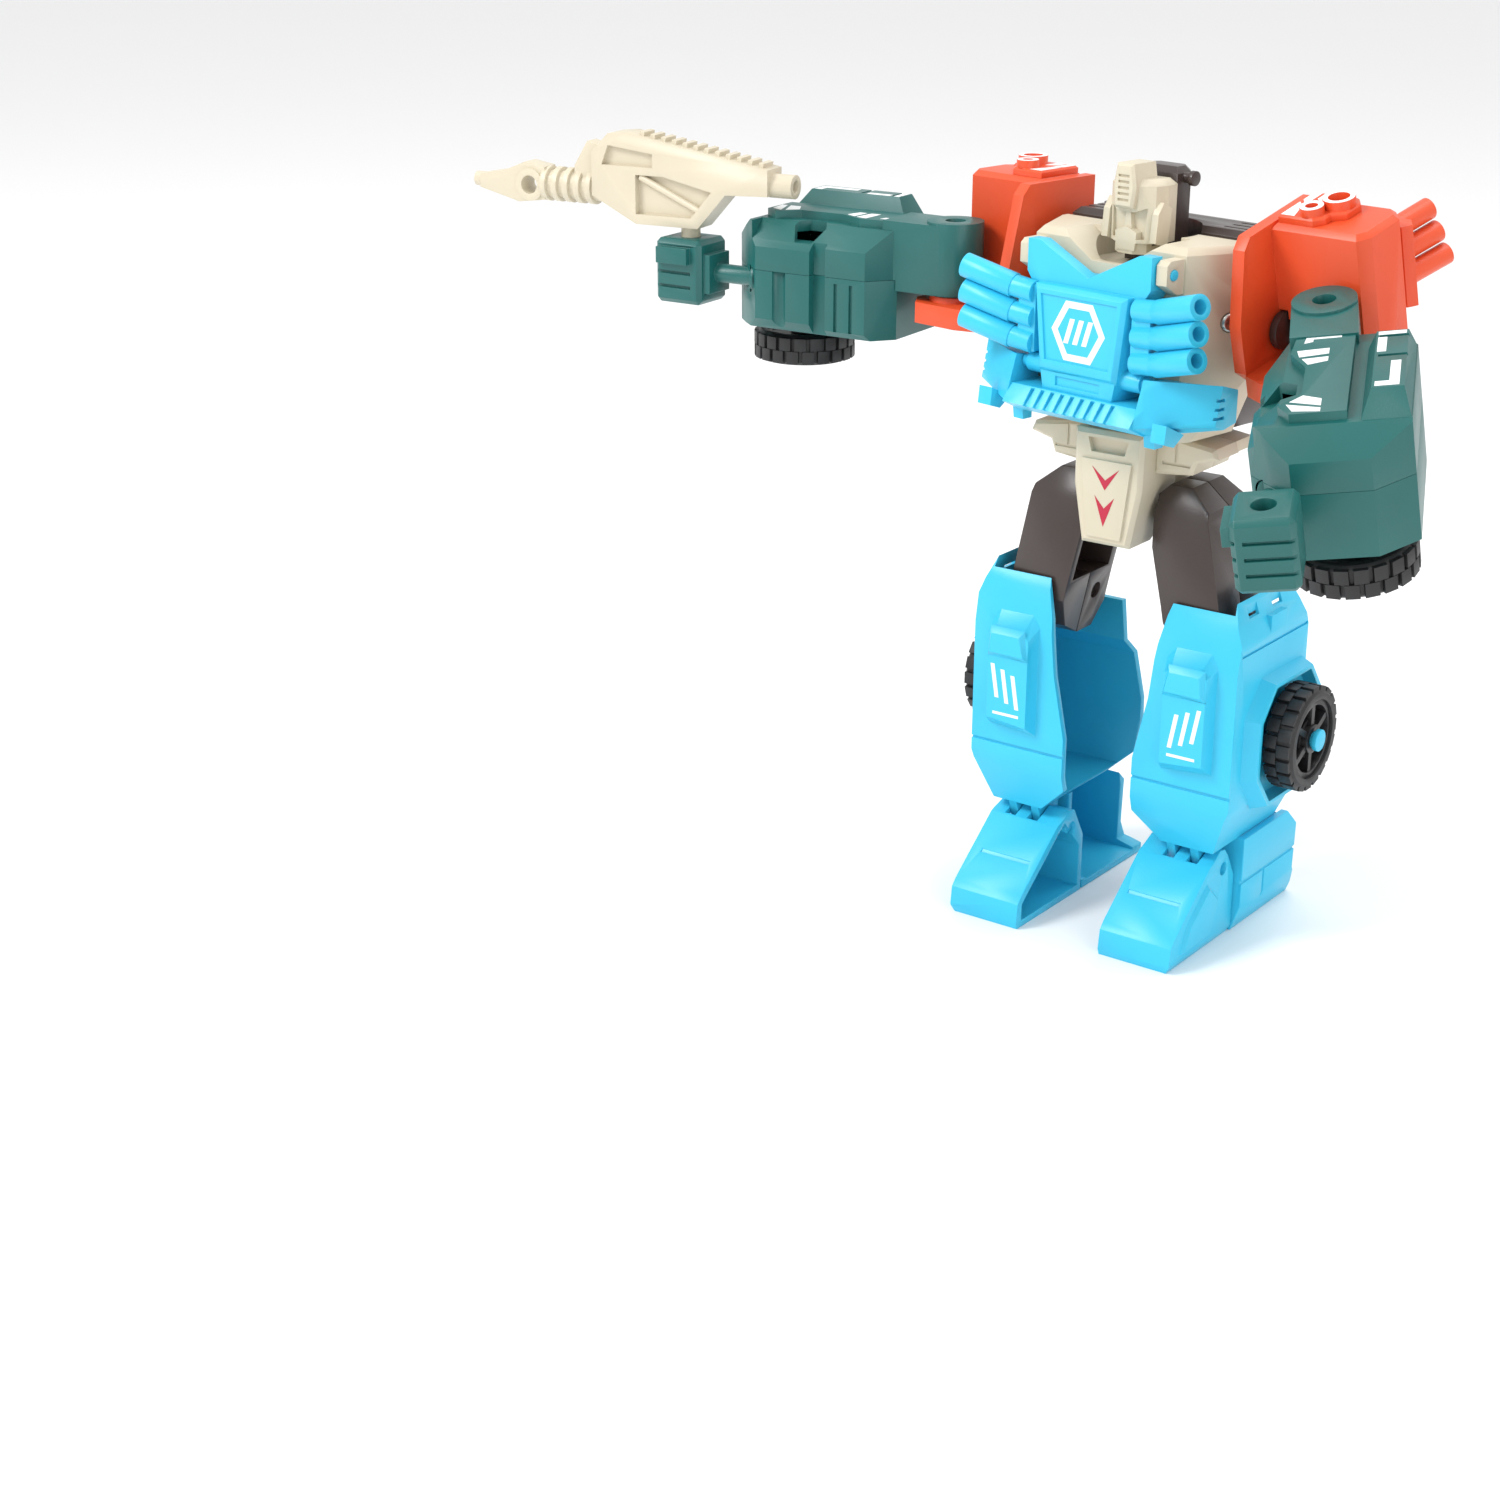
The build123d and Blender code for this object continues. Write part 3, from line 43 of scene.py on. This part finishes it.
def finish(name, base, deep, roughness, grain=0.35, subsurface=0.0, scale=60.0):
    """A procedural moulded finish: mottling of two near colours, uneven gloss and a fine grain."""
    material = bpy.data.materials.new(name)
    material.use_nodes = True
    nodes, links = material.node_tree.nodes, material.node_tree.links
    shader = nodes["Principled BSDF"]
    coordinates = nodes.new("ShaderNodeTexCoord")
    mottle = nodes.new("ShaderNodeTexNoise")
    mottle.inputs["Scale"].default_value = scale
    mottle.inputs["Detail"].default_value = 4.0
    mix = nodes.new("ShaderNodeMix")
    mix.data_type = "RGBA"
    mix.inputs["A"].default_value = (*base, 1)
    mix.inputs["B"].default_value = (*deep, 1)
    gloss = nodes.new("ShaderNodeMapRange")
    gloss.inputs["To Min"].default_value = roughness - 0.05
    gloss.inputs["To Max"].default_value = roughness + 0.07
    fine = nodes.new("ShaderNodeTexNoise")
    fine.inputs["Scale"].default_value = 2600.0
    fine.inputs["Detail"].default_value = 3.0
    bump = nodes.new("ShaderNodeBump")
    bump.inputs["Strength"].default_value = grain
    bump.inputs["Distance"].default_value = GRAIN_DEPTH
    links.new(coordinates.outputs["Object"], mottle.inputs["Vector"])
    links.new(coordinates.outputs["Object"], fine.inputs["Vector"])
    links.new(mottle.outputs["Fac"], mix.inputs["Factor"])
    links.new(mix.outputs["Result"], shader.inputs["Base Color"])
    links.new(mottle.outputs["Fac"], gloss.inputs["Value"])
    links.new(gloss.outputs["Result"], shader.inputs["Roughness"])
    links.new(fine.outputs["Fac"], bump.inputs["Height"])
    links.new(bump.outputs["Normal"], shader.inputs["Normal"])
    shader.inputs["IOR"].default_value = PLASTIC_IOR
    if subsurface:
        shader.inputs["Subsurface Weight"].default_value = subsurface
        shader.inputs["Subsurface Radius"].default_value = SCATTER_RADIUS
    return material


FINISHES = {
    "blue": finish("sky blue plastic", (0.040, 0.525, 0.760), (0.030, 0.475, 0.715), 0.36, subsurface=0.04),
    "cream": finish("cream plastic", (0.620, 0.560, 0.430), (0.560, 0.500, 0.375), 0.42, subsurface=0.04),
    "brown": finish("dark brown plastic", (0.050, 0.036, 0.032), (0.040, 0.028, 0.025), 0.30),
    "orange": finish("orange plastic", (0.740, 0.085, 0.022), (0.660, 0.066, 0.016), 0.38, subsurface=0.04),
    "green": finish("dark green plastic", (0.010, 0.120, 0.112), (0.007, 0.094, 0.088), 0.36),
    "tyre": finish("black tyre plastic", (0.014, 0.014, 0.015), (0.010, 0.010, 0.011), 0.48),
    "hub": finish("black hub plastic", (0.013, 0.013, 0.015), (0.009, 0.009, 0.010), 0.34),
    "steel": finish("zinc plated steel", (0.62, 0.61, 0.58), (0.50, 0.49, 0.46), 0.30),
    "white": finish("white print", (0.86, 0.88, 0.88), (0.78, 0.82, 0.83), 0.45, grain=0.1),
    "crimson": finish("crimson print", (0.50, 0.015, 0.05), (0.42, 0.010, 0.04), 0.45, grain=0.1),
}
FINISHES["steel"].node_tree.nodes["Principled BSDF"].inputs["Metallic"].default_value = 1.0

# ---- moulded edges on the CAD nodes --------------------------------------------------------------
SLOT_OF = {entry["node"]: entry["material_slot"] for entry in frame["record"]["subparts"]}
SMALL = ("screws", "pin", "tyre", "hub", "axle")
EDGE_ROUND = 0.0003
SMALL_EDGE_ROUND = 0.00012
WELD_DISTANCE = 0.000002


def dress(name, node):
    """Gives a CAD node its finish and softly rounded moulded edges."""
    node.data.materials.clear()
    node.data.materials.append(FINISHES[SLOT_OF[name]])
    weld = node.modifiers.new("weld", "WELD")
    weld.merge_threshold = WELD_DISTANCE
    flat = node.modifiers.new("flat", "DECIMATE")
    flat.decimate_type = "DISSOLVE"
    flat.angle_limit = math.radians(1.0)
    bevel = node.modifiers.new("bevel", "BEVEL")
    bevel.width = SMALL_EDGE_ROUND if any(word in name for word in SMALL) else EDGE_ROUND
    bevel.segments = 2
    bevel.limit_method = "ANGLE"
    bevel.angle_limit = math.radians(28)
    bevel.harden_normals = True
    node.data.polygons.foreach_set("use_smooth", [True] * len(node.data.polygons))


for node_name, cad_node in frame["nodes"].items():
    dress(node_name, cad_node)

# ---- rest frames of the bodies, in millimetres on the model's own drawing ------------------------
CENTRE = Vector((0.0496170, 0.0268571, 0.0))    # the robot's midline on the floor, in metres
SIDES = {"left": 1, "right": -1}
TORSO_TURN = -10.0
LEFT_PITCH = 16.0
ARM_SWING = {"left": -58.0, "right": 14.0}
PITCH_PIN = (0, 0, 152)
SHOULDER_SHIFT = 3.0
SWING_X = 52.5
SWING_Y = -8.5
ARM_SHIFT_X = 0.5
ARM_SHIFT_Y = -6.5


def turn(angle, axis, point=(0, 0, 0)):
    """A rotation in degrees about an axis through a point."""
    centre = Matrix.Translation(Vector(point))
    return centre @ Matrix.Rotation(math.radians(angle), 4, axis) @ centre.inverted()


def arm_frame(name):
    """The forearm's rest frame: swung about the upright arm pin, then set off from it."""
    side = SIDES[name]
    swing = turn(ARM_SWING[name], "Z", (side * SWING_X, SWING_Y, 0))
    return SHOULDER[name] @ swing @ Matrix.Translation((side * ARM_SHIFT_X, ARM_SHIFT_Y, 0))


TORSO = turn(TORSO_TURN, "Z")
SHOULDER = {
    "left": TORSO @ Matrix.Translation((SHOULDER_SHIFT, 0, 0)) @ turn(LEFT_PITCH, "X", PITCH_PIN),
    "right": TORSO @ Matrix.Translation((-SHOULDER_SHIFT, 0, 0)),
}
ARM = {name: arm_frame(name) for name in SIDES}
LEGS = Matrix.Identity(4)

# ---- printed shapes ------------------------------------------------------------------------------
PRINT_THICK = 0.07
PRINT_SUNK = 0.03
MILLIMETRE = 0.001
# each facing: how an outline's two numbers and its level give x, y and z, and which way is outward
FACINGS = {
    "front": (lambda across, up, level: (across, level, up), -1),
    "top": (lambda across, back, level: (across, back, level), 1),
}


def solid(name, points, faces, body, surface, place):
    """A mesh drawn in millimetres in a body's rest frame, riding on that body."""
    mesh = bpy.data.meshes.new(name)
    mesh.from_pydata([(CENTRE + (place @ Vector(point)) * MILLIMETRE)[:] for point in points], [], faces)
    mesh.validate()
    thing = bpy.data.objects.new(name, mesh)
    bpy.context.scene.collection.objects.link(thing)
    thing.data.materials.append(FINISHES[surface])
    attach(thing, body)


def printed(name, outlines, facing, level, body, surface, place, side=1):
    """Thin printed shapes lying on a flat face. Each outline's points lie in that face."""
    points, faces = [], []
    drawn, outward = FACINGS[facing]
    for outline in outlines:
        start, count = len(points), len(outline)
        for depth in (level - outward * PRINT_SUNK, level + outward * PRINT_THICK):
            for a, b in outline:
                x, y, z = drawn(a, b, depth)
                points.append((x * side, y, z))
        faces.append(tuple(range(start, start + count)))
        faces.append(tuple(range(start + count, start + 2 * count)))
        for corner in range(count):
            after = (corner + 1) % count
            faces.append((start + corner, start + after, start + count + after, start + count + corner))
    solid(name, points, faces, body, surface, place)


def slanted_bar(x, low, high, width, lean):
    """A parallelogram standing at x, leaning sideways by lean over its height."""
    return [(x, low), (x + width, low), (x + width + lean, high), (x + lean, high)]


def ring(centre, outer, inner, count=24):
    """A flat ring as quadrilaterals. Six of them make a hexagon."""
    step = 2 * math.pi / count
    around = [(math.cos(step * k), math.sin(step * k)) for k in range(count + 1)]
    return [
        [
            (centre[0] + outer * a, centre[1] + outer * b),
            (centre[0] + outer * c, centre[1] + outer * d),
            (centre[0] + inner * c, centre[1] + inner * d),
            (centre[0] + inner * a, centre[1] + inner * b),
        ]
        for (a, b), (c, d) in zip(around, around[1:])
    ]


# the flat faces that carry the prints
HOOD_FACE = -26.7
PELVIS_FACE = -18.7
SHIN_FACE = -19.4
CAP_TOP = 178.8
TALL_RING_TOP = 180.8
LOW_RING_TOP = 180.6
RIDGE_TOP = 168.0
DECK_TOP = 165.0

BADGE_R = 7.9
BADGE_Z = 149.4
BADGE_RIM = 1.8


def print_hood_and_pelvis():
    badge = ring((0, BADGE_Z), BADGE_R, BADGE_R - BADGE_RIM, 6)
    badge += [slanted_bar(-4.3 + 2.7 * k, BADGE_Z - 2.9, BADGE_Z + 2.9, 1.4, 1.8) for k in range(3)]
    printed("hood_badge", badge, "front", HOOD_FACE, "hood", "white", TORSO)
    upper_dart = [(-3.6, 117), (0, 111.6), (3.6, 117), (0, 114.0)]
    lower_dart = [(-2.6, 110.0), (0, 107.2), (2.6, 110.0), (0, 102.8)]
    printed("pelvis_badge", [upper_dart, lower_dart], "front", PELVIS_FACE, "pelvis", "crimson", LEGS)


def print_shin(name, side):
    slashes = [slanted_bar(20.6 + 2.9 * k, 52.4 + 1.1 * k, 61.0 + 1.1 * k, 1.1, 1.5) for k in range(3)]
    slashes.append(slanted_bar(20.6, 50.2, 50.9, 7.4, 0.0))
    printed(f"{name}_shin_print", slashes, "front", SHIN_FACE, f"{name}_shin", "white", LEGS, side)


def print_shoulder(name, side):
    body, place = f"{name}_shoulder", SHOULDER[name]
    stripes = [
        [(34.9, 2.2), (38.4, 2.2), (36.8, 7.4), (34.9, 9.2)],
        [(34.9, 10.4), (37.0, 8.2), (37.0, 14.7), (34.9, 14.7)],
        [(37.8, 11.6), (40.4, 9.8), (40.4, 14.7), (37.8, 14.7)],
    ]
    printed(f"{name}_shoulder_print", stripes, "top", CAP_TOP, body, "white", place, side)
    tall_rim = ring((44.6, 10.2), 3.55, 2.45)
    printed(f"{name}_tall_ring_print", tall_rim, "top", TALL_RING_TOP, body, "white", place, side)
    low_rim = ring((41.4, 4.6), 2.65, 1.45)
    printed(f"{name}_low_ring_print", low_rim, "top", LOW_RING_TOP, body, "white", place, side)


def print_arm(name, side):
    body, place = f"{name}_arm", ARM[name]
    ridge_marks = [
        [(75.4, 10.6), (76.9, 10.6), (76.9, 16.2), (75.4, 16.2)],
        [(78.1, 10.6), (84.8, 10.6), (84.8, 12.4), (78.1, 12.4)],
        [(89.4, 15.6), (100.4, 15.6), (100.4, 10.8), (98.4, 10.8), (98.4, 13.6), (89.4, 13.6)],
    ]
    printed(f"{name}_arm_ridge_print", ridge_marks, "top", RIDGE_TOP, body, "white", place, side)
    deck_marks = [
        [(96.0, -3.6), (98.6, -6.2), (101.0, 0.2), (98.0, 0.2)],
        [(99.6, -6.8), (102.8, -5.4), (103.6, 0.2), (102.0, 0.2)],
        [(75.0, -6.2), (78.0, -5.6), (77.2, 0.4), (74.6, 0.4)],
        [(79.0, -5.0), (81.8, -3.6), (80.6, 0.4), (78.6, 0.4)],
        [(68.0, -4.6), (71.6, -5.0), (71.0, -3.2), (69.8, -3.2), (69.8, 2.6), (68.0, 2.6)],
    ]
    printed(f"{name}_arm_deck_print", deck_marks, "top", DECK_TOP, body, "white", place, side)


print_hood_and_pelvis()
for side_name, side_sign in SIDES.items():
    print_shin(side_name, side_sign)
    print_shoulder(side_name, side_sign)
    print_arm(side_name, side_sign)

# ---- camera --------------------------------------------------------------------------------------
CAMERA_PLACE = CENTRE + Vector((0.28820, -0.53493, 0.27109))
CAMERA_DOWN = 20.979
CAMERA_TURN = 37.2306
camera_data = bpy.data.cameras.new("camera")
camera_data.lens = 62.0
camera_data.clip_start = 0.01
camera = bpy.data.objects.new("camera", camera_data)
camera.location = CAMERA_PLACE
camera.rotation_euler = (math.radians(90 - CAMERA_DOWN), 0.0, math.radians(CAMERA_TURN))
bpy.context.scene.collection.objects.link(camera)
bpy.context.scene.camera = camera

# ---- studio light and floor ----------------------------------------------------------------------
MIDDLE = CENTRE + Vector((0, 0, 0.1))
WORLD_STRENGTH = 0.92
FLOOR_REACH = 6.0


def lamp(name, offset, size, power):
    """A round soft light beside the robot, aimed at its middle."""
    data = bpy.data.lights.new(name, "AREA")
    data.shape = "DISK"
    data.size = size
    data.energy = power
    light = bpy.data.objects.new(name, data)
    light.location = CENTRE + Vector(offset)
    light.rotation_euler = (MIDDLE - light.location).to_track_quat("-Z", "Y").to_euler()
    bpy.context.scene.collection.objects.link(light)


lamp("key", (-0.55, -0.75, 0.95), 0.45, 9)
lamp("fill", (0.95, -0.55, 0.45), 0.8, 3)
lamp("top", (0.1, 0.35, 1.15), 0.8, 4)

world = bpy.data.worlds.new("studio")
world.use_nodes = True
world.node_tree.nodes["Background"].inputs["Color"].default_value = (1, 1, 1, 1)
world.node_tree.nodes["Background"].inputs["Strength"].default_value = WORLD_STRENGTH
bpy.context.scene.world = world
bpy.context.scene.view_settings.view_transform = "Standard"

floor_mesh = bpy.data.meshes.new("floor")
floor_corners = [(x * FLOOR_REACH, y * FLOOR_REACH, 0) for x, y in ((-1, -1), (1, -1), (1, 1), (-1, 1))]
floor_mesh.from_pydata(floor_corners, [], [(0, 1, 2, 3)])
floor = bpy.data.objects.new("floor", floor_mesh)
bpy.context.scene.collection.objects.link(floor)
pale = finish("pale studio floor", (0.92, 0.92, 0.92), (0.90, 0.90, 0.90), 0.7, grain=0.0, scale=2.0)
floor.data.materials.append(pale)
